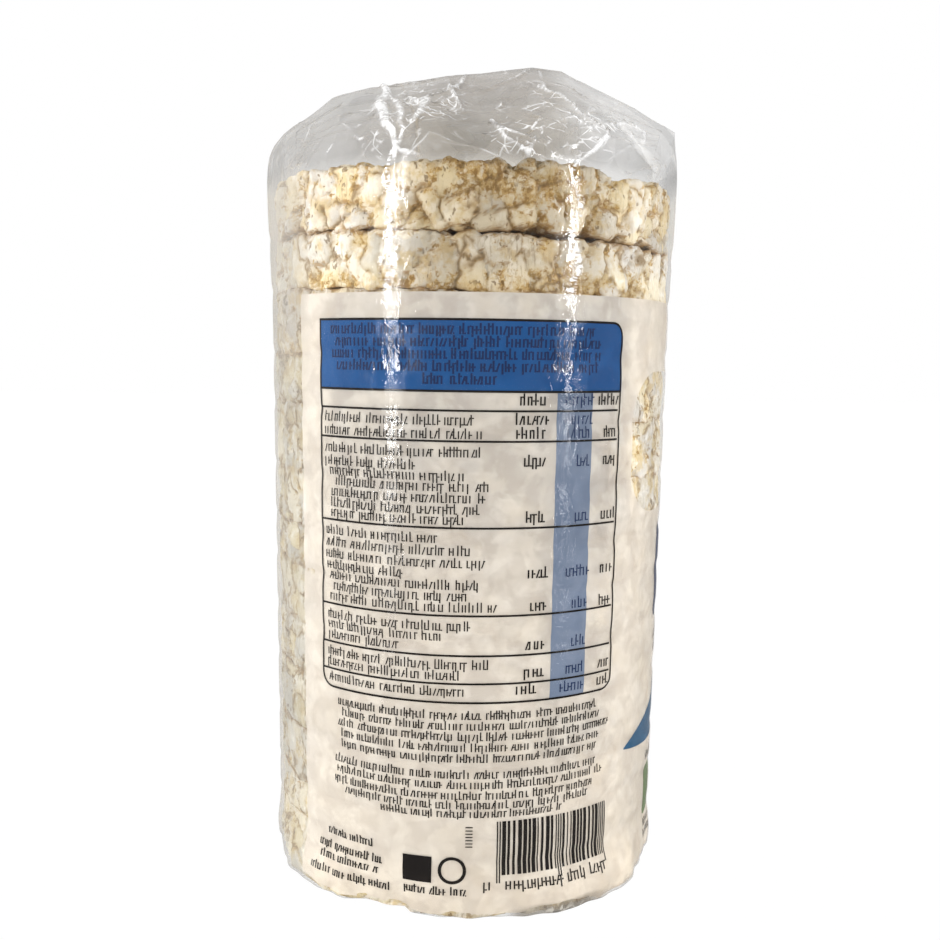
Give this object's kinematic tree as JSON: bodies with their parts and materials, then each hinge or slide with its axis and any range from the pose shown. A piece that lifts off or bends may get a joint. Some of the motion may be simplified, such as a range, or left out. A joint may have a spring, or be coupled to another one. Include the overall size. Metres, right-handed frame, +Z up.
{
  "type": "film pack of puffed rice cakes",
  "caption": "Upright cylinder stack of puffed wholegrain rice cakes in tight clear printed film, with a loose crumpled head of film on top.",
  "frame": {"origin": "middle of the footprint, on the flat face the pack stands on", "axes": "+Z up along the stack; -Y is the side with the facts panel; +X is to the right of that panel"},
  "size_m": [0.0986, 0.096, 0.1927],
  "materials": {
    "clear_film": "thin clear glossy film, crinkled, sharp highlights",
    "rice_cake": "matte puffed grain, ivory with golden bran patches",
    "print_cream": "translucent cream ink under gloss film",
    "print_blue": "opaque blue ink under gloss film",
    "print_dark": "dark ink under gloss film"
  },
  "bodies": {
    "root": {"film_pack": "clear_film"}
  },
  "joints": []
}
